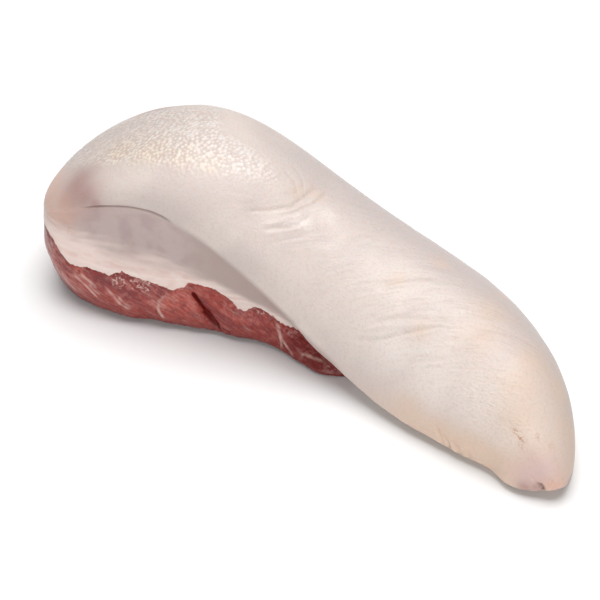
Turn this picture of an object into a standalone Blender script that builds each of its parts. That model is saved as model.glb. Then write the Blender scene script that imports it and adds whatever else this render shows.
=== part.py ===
# A raw veal tongue, lying on its underside, as one solid.
#
# X runs along the tongue, from the cut root to the tip; Z is up; the shown
# side faces -Y. The body is a loft: one half of a cross-section is drawn at
# many places along a middle line that bends sideways, and is mirrored to the
# other side. The back is the smooth skin, its rim hangs over a hollow side
# wall, the skin ends in a cut edge, and the root muscle bulges out below it.
#
# Run it with: blender --background --python part.py

import math

import bmesh
import bpy
import numpy as np
from mathutils import Vector

MM = 0.001
NAME = "tongue"

# ---- driving dimensions, in millimetres ---------------------------------

LENGTH = 275.0            # root to tip, measured along the middle line

# How the shape runs from the root (0) to the tip (1). Each table is a row of
# places along the length and the measure there, joined by a smooth curve.
BACK_HEIGHT = ((0.00, 0.08, 0.18, 0.29, 0.40, 0.50, 0.60, 0.72, 0.84, 0.93, 1.00),
               (59.5, 67.0, 80.0, 86.5, 77.5, 64.0, 56.0, 51.5, 47.0, 40.0, 30.5))
RIM_HALF_WIDTH = ((0.00, 0.08, 0.20, 0.34, 0.48, 0.62, 0.76, 0.88, 1.00),
                  (45.0, 40.0, 36.0, 36.0, 36.5, 37.0, 34.5, 25.0, 15.5))
RIM_HEIGHT = ((0.00, 0.10, 0.20, 0.30, 0.40, 0.50, 0.62, 0.80, 1.00),
              (40.5, 54.5, 66.0, 61.8, 47.1, 30.0, 13.5, 6.5, 2.5))
SKIN_EDGE_HALF_WIDTH = ((0.00, 0.10, 0.22, 0.34, 0.46, 0.58),
                        (45.0, 43.5, 38.0, 29.5, 24.5, 17.0))
SKIN_EDGE_HEIGHT = ((0.00, 0.12, 0.25, 0.38, 0.50, 0.60),
                    (33.5, 29.5, 28.5, 23.0, 14.5, 8.5))
SOLE_HALF_WIDTH = ((0.00, 0.10, 0.17, 0.22, 0.34, 0.43, 0.53, 0.60),
                   (40.0, 38.0, 38.5, 36.0, 29.5, 26.5, 32.0, 32.0))
HEADING = ((0.00, 0.25, 0.50, 0.75, 1.00),
           (7.0, 12.0, 8.0, -13.0, -33.0))      # degrees from +X, left is plus

BACK_ROUNDING = (0.95, 0.90)   # 1 and 1 would make the back half an ellipse
RIM_TOP = 0.8             # the rim's highest place, as a share of the back's height
RIM_OVERHANG = 4.6        # the rim of the back hangs over the side wall
RIM_DEPTH = 1.1           # how far it turns down, as a share of its overhang
RIM_CLEARANCE = 0.3       # the share of the side that it leaves to the wall, at least
ROOT_OVERHANG = 0.5       # at the root the rim hardly hangs over
CREASE_START = (0.05, 0.20)    # and the crease and the ledge begin from there
WALL_HOLLOW = 0.10        # how far the wall curves in, as a share of its height
WALL_PULL = (0.45, 0.18)  # where it bends most, below the rim and above the edge
WALL_FLARE = 0.55         # and how late it turns out to the edge
EDGE_TOP = 0.7            # the edge's highest place, as a share of the rim's height
EDGE_LEDGE = 1.2          # thickness of the skin where it ends on the muscle
ROOT_LEDGE = 0.1          # at the root the skin thins out to nothing
BLADE_LEDGE = 0.6         # what is left of that edge under the free blade
LEDGE_SLOPE = 0.8         # how steeply the cut edge slants in
MUSCLE_BULGE = 3.2        # the root muscle swells past its skin edge
BLADE_BULGE = 0.5
MUSCLE_PULL = (0.74, 0.18)     # where the muscle bulges, as shares of the edge's height
FOOT_BULGE = 1.3          # its lower bulge, as a share of the upper one
ROOT_ROUND = 36.0         # length over which the root end rounds off
TIP_ROUND = 37.5          # and the tip
ROOT_CENTRE_HEIGHT = 36.5
TIP_CENTRE_HEIGHT = 8.0
ROOT_SQUARENESS = 2.4     # 2 is an ellipse, more is squarer
TIP_SQUARENESS = 2.1
FREE_BLADE = (0.53, 0.66)  # the muscle ends and the free blade begins
BLADE_OVERHANG = 0.07     # under the blade, as shares of its half-width or rim height
BLADE_EDGE_WIDTH = 0.74
BLADE_EDGE_HEIGHT = 0.30
BLADE_SOLE_WIDTH = 0.48

# Low forms that stand on the loft, in the settled part's own millimetres.
# A swelling is a centre, a reach and a height; a furrow is a line of points,
# a half-width and a depth. A furrow on the shown side has a fellow on the
# far side, FAR_SHIFT further towards the tip.
SWELLINGS = {
    "lobe beside the tip": ((114.5, -23.0, 5.0), 7.5, 2.6),
    "neck behind that lobe": ((103.5, -24.0, 7.0), 6.5, -4.0),
    "dimple at the root": ((-107.0, -38.0, 60.0), 9.0, -1.4),
    "hump behind the fossa": ((-30.0, 3.0, 80.0), 15.0, 1.2),
    "muscle head at the root": ((-70.0, -42.0, 15.0), 13.0, 1.2),
    "long muscle": ((-26.0, -23.0, 12.0), 11.0, 1.2),
    "hollow of the cut root": ((-134.0, 0.0, 22.0), 14.0, -2.5),
}
FURROWS = {
    "fossa": (((-20.0, -20.0, 70.0), (-13.0, -5.0, 71.0), (-11.0, 8.0, 70.0), (-9.0, 24.0, 66.0)),
              4.5, 1.3),
    "slit": (((-48.0, -31.0, 27.0), (-42.0, -30.0, 18.0), (-36.0, -28.0, 8.0)), 3.0, 2.6),
    "rear seam": (((-80.0, -46.0, 24.0), (-68.0, -43.0, 14.0), (-62.0, -40.0, 4.0)), 3.0, 1.3),
    "front seam": (((-22.0, -20.0, 20.0), (-16.0, -20.0, 13.0), (-6.0, -18.0, 6.0)), 3.0, 1.3),
}
FAR_FURROWS = ("slit", "rear seam", "front seam")
FAR_SHIFT = 7.0
SOLE_SKIRT = 4.0          # the forms fade out this far above the ground

SKIN_COLOUR = (0.66, 0.50, 0.45, 1.0)
SKIN_ROUGHNESS = 0.45

# ---- how finely it is drawn ----------------------------------------------

BACK_STEPS = 10
RIM_STEPS = 3
WALL_STEPS = 6
MUSCLE_STEPS = 5
SOLE_STEPS = 3
MIDDLE_RINGS = 52
END_RINGS = 7             # rings in each rounded end
END_START_ANGLE = 16.0    # degrees, where an end's first ring lies


def smooth_curve(table, places):
    """Natural cubic spline through a table of places and measures."""
    xs, ys = (np.array(row, float) for row in table)
    x = np.clip(np.asarray(places, float), xs[0], xs[-1])
    step = np.diff(xs)
    slope = np.diff(ys) / step
    system = np.eye(len(xs))
    right = np.zeros(len(xs))
    for i in range(1, len(xs) - 1):
        system[i, i - 1:i + 2] = step[i - 1], 2 * (step[i - 1] + step[i]), step[i]
        right[i] = 6 * (slope[i] - slope[i - 1])
    bend = np.linalg.solve(system, right)
    k = np.clip(np.searchsorted(xs, x, side="right") - 1, 0, len(step) - 1)
    before, after, h = x - xs[k], xs[k + 1] - x, step[k]
    return ((bend[k] * after ** 3 + bend[k + 1] * before ** 3) / (6 * h)
            + (ys[k] / h - bend[k] * h / 6) * after
            + (ys[k + 1] / h - bend[k + 1] * h / 6) * before)


def blend(low, high, x):
    """0 below low, 1 above high, smooth between."""
    t = np.clip((x - low) / (high - low), 0.0, 1.0)
    return t * t * (3 - 2 * t)


def mix(start, end, share):
    """A value on the way from start to end."""
    return float(start * (1 - share) + end * share)


def bezier(a, b, c, d, steps):
    """Points of a cubic curve from a to d, without a itself."""
    t = np.linspace(0, 1, steps + 1)[1:, None]
    a, b, c, d = (np.array(p, float) for p in (a, b, c, d))
    return (1 - t) ** 3 * a + 3 * t * (1 - t) ** 2 * b + 3 * t * t * (1 - t) * c + t ** 3 * d


def half_section(place):
    """Half a cross-section, as (sideways, up), from mid-back to mid-sole."""
    free = float(blend(*FREE_BLADE, place))
    creased = float(blend(*CREASE_START, place))
    top = float(smooth_curve(BACK_HEIGHT, place))
    rim_y = float(smooth_curve(RIM_HALF_WIDTH, place))
    rim_z = min(float(smooth_curve(RIM_HEIGHT, place)), RIM_TOP * top)
    edge_y = mix(smooth_curve(SKIN_EDGE_HALF_WIDTH, place), BLADE_EDGE_WIDTH * rim_y, free)
    edge_z = mix(smooth_curve(SKIN_EDGE_HEIGHT, place), BLADE_EDGE_HEIGHT * rim_z, free)
    edge_z = min(edge_z, EDGE_TOP * rim_z)
    sole_y = mix(smooth_curve(SOLE_HALF_WIDTH, place), BLADE_SOLE_WIDTH * rim_y, free)
    overhang = mix(ROOT_OVERHANG, RIM_OVERHANG, creased)
    overhang = mix(overhang, BLADE_OVERHANG * rim_y, free)
    bulge = mix(MUSCLE_BULGE, BLADE_BULGE, free)
    ledge = mix(mix(ROOT_LEDGE, EDGE_LEDGE, creased), BLADE_LEDGE, free)

    a = np.linspace(0, math.pi / 2, BACK_STEPS + 1)
    back = np.stack([rim_y * np.sin(a) ** BACK_ROUNDING[0],
                     rim_z + (top - rim_z) * np.cos(a) ** BACK_ROUNDING[1]], 1)
    tuck_y = rim_y - overhang
    tuck_z = max(rim_z - RIM_DEPTH * overhang, mix(edge_z, rim_z, RIM_CLEARANCE))
    a = np.linspace(0, math.pi / 2, RIM_STEPS + 1)[1:, None]
    rim = np.hstack([rim_y - overhang * (1 - np.cos(a)), rim_z - (rim_z - tuck_z) * np.sin(a)])
    depth = tuck_z - edge_z
    inward = WALL_HOLLOW * depth * creased
    flare = WALL_FLARE * max(edge_y - tuck_y, 0.0) * creased
    wall = bezier((tuck_y, tuck_z), (tuck_y - inward, tuck_z - WALL_PULL[0] * depth),
                  (edge_y - flare - inward, edge_z + WALL_PULL[1] * depth),
                  (edge_y, edge_z), WALL_STEPS)
    under = (edge_y - ledge, edge_z - LEDGE_SLOPE * ledge)
    muscle = bezier(under, (edge_y + bulge, MUSCLE_PULL[0] * edge_z),
                    (sole_y + FOOT_BULGE * bulge, MUSCLE_PULL[1] * edge_z),
                    (sole_y, 0.0), MUSCLE_STEPS)
    sole = np.stack([sole_y * (1 - np.linspace(0, 1, SOLE_STEPS + 1)[1:]), np.zeros(SOLE_STEPS)], 1)
    return np.vstack([back, rim, wall, [under], muscle, sole])


def middle_line():
    """Distances along the middle line, its points and its headings."""
    share = np.linspace(0, 1, 401)
    heading = np.radians(smooth_curve(HEADING, share))
    between = (heading[1:] + heading[:-1]) / 2
    step = LENGTH / (len(share) - 1)
    x = np.concatenate([[0], np.cumsum(np.cos(between) * step)])
    y = np.concatenate([[0], np.cumsum(np.sin(between) * step)])
    return share * LENGTH, x, y, heading


def end_size(distance, length, squareness):
    """Share of its full size that a section keeps at a distance from an end."""
    inside = np.clip(1 - distance / length, 0, 1)
    return (1 - inside ** squareness) ** (1 / squareness)


def end_distance(size, length, squareness):
    """The distance from an end at which a section has that share of its size."""
    return length * (1 - (1 - np.clip(size, 0, 1) ** squareness) ** (1 / squareness))


def ring_distances():
    """Where the rings lie: close together where an end rounds off."""
    angles = np.radians(np.linspace(END_START_ANGLE, 90, END_RINGS))
    root = ROOT_ROUND * (1 - np.cos(angles))
    tip = LENGTH - TIP_ROUND * (1 - np.cos(angles))
    middle = np.linspace(ROOT_ROUND, LENGTH - TIP_ROUND, MIDDLE_RINGS + 2)[1:-1]
    return np.concatenate([root, middle, tip[::-1]])


def whole_section(distance):
    """All round: the shown side first, then the far side back up to the top."""
    half = half_section(distance / LENGTH)
    far = half[1:-1][::-1] * (-1, 1)
    return np.vstack([half, far])


def shrink(section, distance):
    """Round a section off towards the end that it is near."""
    root = end_size(distance, ROOT_ROUND, ROOT_SQUARENESS)
    tip = end_size(LENGTH - distance, TIP_ROUND, TIP_SQUARENESS)
    out = section * (root * tip, 1.0)
    out[:, 1] = ROOT_CENTRE_HEIGHT + (out[:, 1] - ROOT_CENTRE_HEIGHT) * root
    out[:, 1] = TIP_CENTRE_HEIGHT + (out[:, 1] - TIP_CENTRE_HEIGHT) * tip
    return out


def in_space(section, distance, line):
    """Section points at distances along the middle line, as points in space."""
    at, xs, ys, headings = line
    x, y, heading = (np.interp(distance, at, row) for row in (xs, ys, headings))
    return np.stack([x + section[:, 0] * np.sin(heading),
                     y - section[:, 0] * np.cos(heading),
                     section[:, 1]], 1)


def patch(ring):
    """A grid of points inside a closed ring, by blending its four sides."""
    n = len(ring) // 4
    turned = np.roll(ring, n // 2, axis=0)
    corner = [turned[0], turned[n], turned[2 * n], turned[3 * n]]
    side_a = turned[:n + 1]
    side_b = turned[n:2 * n + 1]
    side_c = turned[2 * n:3 * n + 1][::-1]
    side_d = np.vstack([turned[3 * n:], turned[:1]])[::-1]
    u = np.linspace(0, 1, n + 1)[:, None, None]
    v = np.linspace(0, 1, n + 1)[None, :, None]
    across = (1 - v) * side_a[:, None] + v * side_c[:, None]
    along = (1 - u) * side_d[None] + u * side_b[None]
    flat = ((1 - u) * (1 - v) * corner[0] + u * (1 - v) * corner[1]
            + u * v * corner[2] + (1 - u) * v * corner[3])
    return across + along - flat


def end_patch(distance, from_root, line):
    """The points that close an end, each on the rounded end's true curve."""
    full = whole_section(distance)
    centre = np.array([0, ROOT_CENTRE_HEIGHT if from_root else TIP_CENTRE_HEIGHT])
    grid = patch(shrink(full, distance))
    length, squareness = ((ROOT_ROUND, ROOT_SQUARENESS) if from_root
                          else (TIP_ROUND, TIP_SQUARENESS))
    spread = full - centre
    angles = np.arctan2(spread[:, 1], spread[:, 0])
    order = np.argsort(angles)
    reach = np.interp(np.arctan2(grid[..., 1] - centre[1], grid[..., 0]), angles[order],
                      np.linalg.norm(spread, axis=1)[order], period=2 * math.pi)
    size = np.linalg.norm(grid - centre, axis=2) / reach
    inset = end_distance(size, length, squareness)
    along = inset if from_root else LENGTH - inset
    flat = in_space(grid.reshape(-1, 2), along.reshape(-1), line)
    return flat.reshape(grid.shape[0], grid.shape[1], 3)


def add_patch(bm, grid, ring, facing_root):
    """Close an end: the outer points are the ring's own vertices."""
    n = grid.shape[0] - 1
    rim = list(np.roll(np.array(ring, dtype=object), n // 2))
    cells = [[None] * (n + 1) for _ in range(n + 1)]
    for i in range(n + 1):
        cells[i][0] = rim[i]
        cells[n][i] = rim[n + i]
        cells[n - i][n] = rim[2 * n + i]
        cells[0][n - i] = rim[(3 * n + i) % (4 * n)]
    for i in range(1, n):
        for j in range(1, n):
            cells[i][j] = bm.verts.new(grid[i, j] * MM)
    for i in range(n):
        for j in range(n):
            corners = [cells[i][j], cells[i + 1][j], cells[i + 1][j + 1], cells[i][j + 1]]
            bm.faces.new(corners if facing_root else corners[::-1])


def loft():
    """The closed body of the tongue, as a bmesh in metres."""
    line = middle_line()
    distances = ring_distances()
    bm = bmesh.new()
    rings = []
    for distance in distances:
        section = shrink(whole_section(distance), distance)
        points = in_space(section, np.full(len(section), distance), line)
        rings.append([bm.verts.new(point * MM) for point in points])
    count = len(rings[0])
    for a, b in zip(rings, rings[1:]):
        for i in range(count):
            j = (i + 1) % count
            bm.faces.new([a[i], a[j], b[j], b[i]])
    add_patch(bm, end_patch(distances[0], True, line), rings[0], True)
    add_patch(bm, end_patch(distances[-1], False, line), rings[-1], False)
    bmesh.ops.recalc_face_normals(bm, faces=bm.faces)
    return bm


def settle(bm):
    """Put the middle of the body's box over the origin, on the ground."""
    points = np.array([v.co for v in bm.verts])
    low, high = points.min(axis=0), points.max(axis=0)
    move = np.array([-(low[0] + high[0]) / 2, -(low[1] + high[1]) / 2, -low[2]])
    bmesh.ops.translate(bm, verts=bm.verts, vec=move)
    return move / MM


def line_distance(points, line):
    """How far each point is from a line of points."""
    nearest = np.full(len(points), np.inf)
    for a, b in zip(line, line[1:]):
        a, along = np.array(a), np.subtract(b, a)
        share = np.clip((points - a) @ along / (along @ along), 0, 1)
        gap = np.linalg.norm(points - a - share[:, None] * along, axis=1)
        nearest = np.minimum(nearest, gap)
    return nearest


def far_side(furrow, offset):
    """The same furrow mirrored in the middle line and moved towards the tip."""
    _, xs, ys, _ = middle_line()
    mirrored = np.array(furrow, float)
    middle = np.interp(mirrored[:, 0], xs + offset[0], ys + offset[1])
    mirrored[:, 1] = 2 * middle - mirrored[:, 1]
    mirrored[:, 0] += FAR_SHIFT
    return mirrored


def add_forms(bm, offset):
    """Raise the swellings and press in the furrows, along the surface normals."""
    points = np.array([v.co for v in bm.verts]) / MM
    bm.normal_update()
    normals = np.array([v.normal for v in bm.verts])
    height = np.zeros(len(points))
    for centre, reach, rise in SWELLINGS.values():
        gap = np.linalg.norm(points - centre, axis=1)
        height += rise * np.exp(-(gap / reach) ** 2)
    for name, (furrow, width, depth) in FURROWS.items():
        height -= depth * np.exp(-(line_distance(points, furrow) / width) ** 2)
        if name in FAR_FURROWS:
            gap = line_distance(points, far_side(furrow, offset))
            height -= depth * np.exp(-(gap / width) ** 2)
    height *= blend(0, SOLE_SKIRT, points[:, 2])
    for vert, normal, rise in zip(bm.verts, normals, height):
        vert.co += Vector(normal) * float(rise) * MM


def flesh_material():
    """Raw tongue: pale, slightly moist skin, as one plain colour."""
    material = bpy.data.materials.new("raw tongue")
    material.use_nodes = True
    shader = material.node_tree.nodes["Principled BSDF"]
    shader.inputs["Base Color"].default_value = SKIN_COLOUR
    shader.inputs["Roughness"].default_value = SKIN_ROUGHNESS
    shader.inputs["Metallic"].default_value = 0.0
    return material


def main():
    for thing in list(bpy.data.objects):
        bpy.data.objects.remove(thing, do_unlink=True)
    group = bpy.data.collections.new("veal tongue")
    bpy.context.scene.collection.children.link(group)
    bm = loft()
    add_forms(bm, settle(bm))
    settle(bm)
    mesh = bpy.data.meshes.new(NAME)
    bm.to_mesh(mesh)
    bm.free()
    mesh.materials.append(flesh_material())
    group.objects.link(bpy.data.objects.new(NAME, mesh))


main()
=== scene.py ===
# %% [markdown]
# # A raw veal tongue
#
# A veal tongue is one piece of meat with three finishes. Its back is a pale,
# moist skin: thick and pebbly over the hump, smooth on the free blade. Where
# the tongue was cut out, the skin ends in a ragged edge with a band of fat.
# Below that edge lies the bare root muscle, red and fibrous.
#
# The frame already holds the true form. This lesson copies it, refines the
# mesh, presses in the folds and raises the papillae, and then paints it.

import itertools
import math

import bpy
import numpy as np
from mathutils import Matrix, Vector, kdtree
from mathutils.bvhtree import BVHTree


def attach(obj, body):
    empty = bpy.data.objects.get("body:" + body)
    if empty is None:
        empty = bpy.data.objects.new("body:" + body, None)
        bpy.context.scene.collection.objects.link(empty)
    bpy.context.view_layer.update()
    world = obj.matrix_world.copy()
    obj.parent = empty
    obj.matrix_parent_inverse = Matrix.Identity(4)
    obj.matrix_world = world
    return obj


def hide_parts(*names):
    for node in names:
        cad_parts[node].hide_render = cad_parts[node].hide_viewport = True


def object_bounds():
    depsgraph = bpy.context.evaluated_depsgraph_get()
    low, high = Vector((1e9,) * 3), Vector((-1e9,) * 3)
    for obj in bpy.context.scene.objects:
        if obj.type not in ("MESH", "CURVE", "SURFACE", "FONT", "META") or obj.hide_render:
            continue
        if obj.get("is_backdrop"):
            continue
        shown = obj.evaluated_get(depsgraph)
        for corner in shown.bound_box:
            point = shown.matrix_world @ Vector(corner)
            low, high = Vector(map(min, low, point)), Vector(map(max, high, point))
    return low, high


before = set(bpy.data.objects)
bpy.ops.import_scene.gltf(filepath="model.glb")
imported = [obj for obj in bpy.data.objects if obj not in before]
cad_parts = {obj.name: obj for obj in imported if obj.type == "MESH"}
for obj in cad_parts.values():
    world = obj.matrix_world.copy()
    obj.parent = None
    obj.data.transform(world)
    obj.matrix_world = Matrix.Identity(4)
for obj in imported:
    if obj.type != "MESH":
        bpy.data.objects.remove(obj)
cad_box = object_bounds()
MM = 0.001
SEED = 7
print("frame box, mm:", [[round(v / MM, 1) for v in corner] for corner in cad_box])

# %% [markdown]
# ## Places on the tongue
#
# The tongue bends as it lies, so X alone does not say how far along it a point
# is. Each point gets three measures instead: how far along the middle line it
# lies, how far across from it (plus is the shown side), and how high. The
# middle line starts at the cut root and turns with the tongue.

# %% The middle line, and where points lie on it
LENGTH = 275.0                           # mm, from the cut root to the tip
ROOT_START = (-133.4, -13.4)             # mm, where the middle line starts
HEADING = ((0, 69, 138, 206, 275), (7, 12, 8, -13, -33))    # mm along, degrees


def smooth_curve(table, places):
    """Natural cubic spline through a table of places and values."""
    xs, ys = (np.array(row, float) for row in table)
    x = np.clip(np.asarray(places, float), xs[0], xs[-1])
    step, rise = np.diff(xs), np.diff(ys)
    system, right = np.eye(len(xs)), np.zeros(len(xs))
    for i in range(1, len(xs) - 1):
        system[i, i - 1:i + 2] = step[i - 1], 2 * (step[i - 1] + step[i]), step[i]
        right[i] = 6 * (rise[i] / step[i] - rise[i - 1] / step[i - 1])
    bend = np.linalg.solve(system, right)
    k = np.clip(np.searchsorted(xs, x, side="right") - 1, 0, len(step) - 1)
    before, after, h = x - xs[k], xs[k + 1] - x, step[k]
    return ((bend[k] * after ** 3 + bend[k + 1] * before ** 3) / (6 * h)
            + (ys[k] / h - bend[k] * h / 6) * after
            + (ys[k + 1] / h - bend[k + 1] * h / 6) * before)


def middle_line():
    """Points each millimetre along the middle line, and the way it heads there."""
    along = np.arange(0, LENGTH + 1)
    heading = np.radians(smooth_curve(HEADING, along))
    steps = np.stack([np.cos(heading), np.sin(heading)], 1)
    points = np.vstack([[0, 0], np.cumsum(steps, axis=0)[:-1]]) + ROOT_START
    return points, steps


LINE, LINE_WAY = middle_line()
LINE_TREE = kdtree.KDTree(len(LINE))
for number, point in enumerate(LINE):
    LINE_TREE.insert((*point, 0), number)
LINE_TREE.balance()


def chart(points):
    """(along, across, height) in mm of points in mm."""
    near = np.array([LINE_TREE.find((x, y, 0))[1] for x, y in points[:, :2]])
    away = points[:, :2] - LINE[near]
    way = LINE_WAY[near]
    along = near + (away * way).sum(1)
    across = away[:, 0] * way[:, 1] - away[:, 1] * way[:, 0]
    return np.stack([along, across, points[:, 2]], 1)


print("the tip of the middle line, mm:", LINE[-1].round(1))

# %% [markdown]
# ## Camera
#
# The photograph looks down on the tongue from its tip's side. The camera is
# turned and raised by those two angles and aimed at a point under the blade.
# It is made first, because folds seen in the photograph are placed through it.

# %% The camera at the photograph's viewing angle
AZIMUTH, ELEVATION = math.radians(37.3), math.radians(42.7)
FIELD_OF_VIEW = math.radians(24.6)
AIM = Vector((-10.4, 2.1, 15.0)) * MM
DISTANCE = 612.8 * MM
NEAREST_SEEN = 10 * MM
PICTURE = 600                            # pixels, the photograph's width and height

back = Vector((math.sin(AZIMUTH) * math.cos(ELEVATION),
               -math.cos(AZIMUTH) * math.cos(ELEVATION), math.sin(ELEVATION)))
bpy.ops.object.select_all(action="DESELECT")
bpy.ops.object.camera_add(location=AIM + back * DISTANCE,
                          rotation=back.to_track_quat("Z", "Y").to_euler())
camera = bpy.context.active_object
camera.name = "camera"
camera.data.angle = FIELD_OF_VIEW
camera.data.clip_start = NEAREST_SEEN
bpy.context.scene.camera = camera
bpy.context.view_layer.update()
print("camera at, mm:", [round(v / MM) for v in camera.location])

# %% [markdown]
# ## A mesh fine enough for the skin
#
# The frame's mesh is loose triangles about 4 mm wide. Its copy is merged, its
# triangles are paired back into quads, and Subdivision Surface rounds it. The
# papillae are only 2 mm wide, and so are many wrinkles, so the hump, the shown
# muscle and the creased, wrinkled and nicked parts are subdivided once more.
# The blade's underside is first made coarser, for nobody sees it.

# %% Copy, merge and round the body
MERGE_DISTANCE = 0.01                    # mm
PAIRING_ANGLE = math.radians(60)         # how far from flat and square a pair may be
ROUNDING_LEVELS = 2

tongue = bpy.data.objects.new("veal_tongue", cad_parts["tongue"].data.copy())
bpy.context.scene.collection.objects.link(tongue)
bpy.ops.object.select_all(action="DESELECT")
tongue.select_set(True)
bpy.context.view_layer.objects.active = tongue
tongue.data.materials.clear()
bpy.ops.object.mode_set(mode="EDIT")
bpy.ops.mesh.select_all(action="SELECT")
bpy.ops.mesh.remove_doubles(threshold=MERGE_DISTANCE * MM)
bpy.ops.mesh.tris_convert_to_quads(face_threshold=PAIRING_ANGLE, shape_threshold=PAIRING_ANGLE)
bpy.ops.object.mode_set(mode="OBJECT")
quads = sum(len(face.vertices) == 4 for face in tongue.data.polygons)
print("quads:", quads, "of", len(tongue.data.polygons), "faces")

rounding = tongue.modifiers.new("rounding", "SUBSURF")
rounding.levels = rounding.render_levels = ROUNDING_LEVELS
bpy.ops.object.modifier_apply(modifier=rounding.name)
bpy.ops.object.shade_smooth()
print("vertices:", len(tongue.data.vertices))


# %% Measure the mesh
def coordinates():
    """The mesh's vertices, in mm."""
    flat = np.empty(len(tongue.data.vertices) * 3)
    tongue.data.vertices.foreach_get("co", flat)
    return flat.reshape(-1, 3) / MM


def faces():
    """Where the mesh's faces lie, as (along, across, height) in mm, and how far up each looks."""
    rows = np.empty((2, len(tongue.data.polygons) * 3))
    tongue.data.polygons.foreach_get("center", rows[0])
    tongue.data.polygons.foreach_get("normal", rows[1])
    return (*chart(rows[0].reshape(-1, 3) / MM).T, rows[1].reshape(-1, 3)[:, 2])


def select_faces(chosen):
    """Go into edit mode with just these faces selected."""
    bpy.ops.object.mode_set(mode="EDIT")
    bpy.ops.mesh.select_mode(type="FACE")
    bpy.ops.mesh.select_all(action="DESELECT")
    bpy.ops.object.mode_set(mode="OBJECT")
    tongue.data.polygons.foreach_set("select", chosen)
    bpy.ops.object.mode_set(mode="EDIT")


print("highest point, mm:", coordinates()[:, 2].max().round(1))

# %% A coarser mesh under the blade
UNDERSIDE_START = 170                    # mm along
UNDERSIDE_NORMAL = -0.3                  # how far up a face looks, at the most
COARSER_STEPS = 2

along, across, height, upward = faces()
select_faces((along > UNDERSIDE_START) & (upward < UNDERSIDE_NORMAL))
bpy.ops.mesh.select_mode(type="VERT")
bpy.ops.mesh.unsubdivide(iterations=COARSER_STEPS)
bpy.ops.object.mode_set(mode="OBJECT")
print("faces:", len(tongue.data.polygons))

# %% A finer mesh where the detail is fine
RIM_HEIGHT = ((0, 27, 55, 82, 110, 137, 170, 220, 275),              # mm along
              (40.5, 54.5, 66, 61.8, 47.1, 30, 13.5, 6.5, 2.5))      # mm high
HUMP, MUSCLE, FOSSA = (3, 126), (2, 165), (102, 152)        # mm along, from and to
CREASED, NICKED = (18, 62), (196, 240)
WRINKLED, WRINKLED_SKEW = (140, 205), 0.76    # askew, as the wrinkles run: mm for each mm across
HUMP_HALF_WIDTH = ((0, 30, 60, 90, 110, 126), (10, 24, 28, 26, 18, 6))    # mm along, mm across
FOSSA_SIDES, WRINKLED_SIDES = (-24, 32), (-24, 33)          # mm across, from and to
CREASED_SIDE, NICKED_SIDE = 20, 24       # mm across, from there outwards
MUSCLE_HEIGHT = ((0, 33, 69, 105, 137, 165), (37, 33, 32, 27, 18, 12))    # mm along, mm high
MUSCLE_LIFT = 0.5                        # mm, from the sole to the muscle's lowest fine face
CREASED_HEIGHTS = (-5, 3)                # mm from the rim, from and to
NICKED_NORMAL = -0.5                     # how far up a face looks, at the least


def between(values, low, high):
    return (values > low) & (values < high)


along, across, height, upward = faces()
over_rim = height - smooth_curve(RIM_HEIGHT, along)
hump = (over_rim > 0) & between(along, *HUMP)
hump &= abs(across) < np.interp(along, *HUMP_HALF_WIDTH)
muscle = between(height, MUSCLE_LIFT, np.interp(along, *MUSCLE_HEIGHT))
muscle &= between(along, *MUSCLE) & (across > 0)
fossa = between(along, *FOSSA) & between(across, *FOSSA_SIDES) & (over_rim > 0)
creased = between(along, *CREASED) & between(over_rim, *CREASED_HEIGHTS) & (across > CREASED_SIDE)
wrinkled = between(along - WRINKLED_SKEW * across, *WRINKLED)
wrinkled &= between(across, *WRINKLED_SIDES) & (upward > 0)
nicked = between(along, *NICKED) & (across > NICKED_SIDE) & (upward > NICKED_NORMAL)
select_faces(hump | muscle | fossa | wrinkled | creased | nicked)
bpy.ops.mesh.subdivide(number_cuts=1, smoothness=1.0)
bpy.ops.object.mode_set(mode="OBJECT")
print("vertices:", len(tongue.data.vertices), "triangles:",
      sum(len(face.vertices) - 2 for face in tongue.data.polygons))

# %% [markdown]
# ## From the photograph to the surface
#
# A fold that shows in the photograph is noted as a few of its pixels. A ray
# through each pixel, from the camera, finds the place on the body that the
# pixel shows, so a fold is also in its place when seen from another side.
# Soft lines and soft noise then say how much of a fold each vertex gets.

# %% Find the places that pixels show
start_shape = BVHTree.FromObject(tongue, bpy.context.evaluated_depsgraph_get())
FOCAL = PICTURE / 2 / math.tan(FIELD_OF_VIEW / 2)    # pixels
BESIDE_BODY = [0.6 + 0.01 * step for step in range(80)]    # shares of the camera's distance
FAR_SHIFT = 7.0                          # mm, how much further along the far side's lines lie


def traced(pixels):
    """The points on the body, in mm, that the camera sees at pixels of the photograph."""
    points = []
    for x, y in pixels:
        way = Vector(((x - PICTURE / 2) / FOCAL, (PICTURE / 2 - y) / FOCAL, -1)).normalized()
        way = camera.matrix_world.to_3x3() @ way
        hit = start_shape.ray_cast(camera.location, way)[0]
        if hit is None:                  # just off the outline: the nearest place on the body
            ray = [camera.location + way * DISTANCE * share for share in BESIDE_BODY]
            found = (start_shape.find_nearest(spot) for spot in ray)
            hit = min(found, key=lambda nearest: nearest[3])[0]
        points.append(np.array(hit) / MM)
    return np.array(points)


def mirrored(line):
    """The same line on the far side of the tongue, a little further along."""
    along, across, height = chart(line).T
    at = np.clip(along + FAR_SHIFT, 0, LENGTH)
    x, y, way_x, way_y = (np.interp(at, np.arange(len(LINE)), row)
                          for row in (*LINE.T, *LINE_WAY.T))
    guess = np.stack([x - across * way_y, y + across * way_x, height], 1)
    return np.array([np.array(start_shape.find_nearest(Vector(p) * MM)[0]) / MM for p in guess])


print("a pixel shows about", round(DISTANCE / FOCAL / MM, 2), "mm")


# %% Soft lines and soft noise
def blend(low, high, x):
    """0 below low, 1 above high, smooth between."""
    t = np.clip((x - low) / (high - low), 0.0, 1.0)
    return t * t * (3 - 2 * t)


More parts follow.
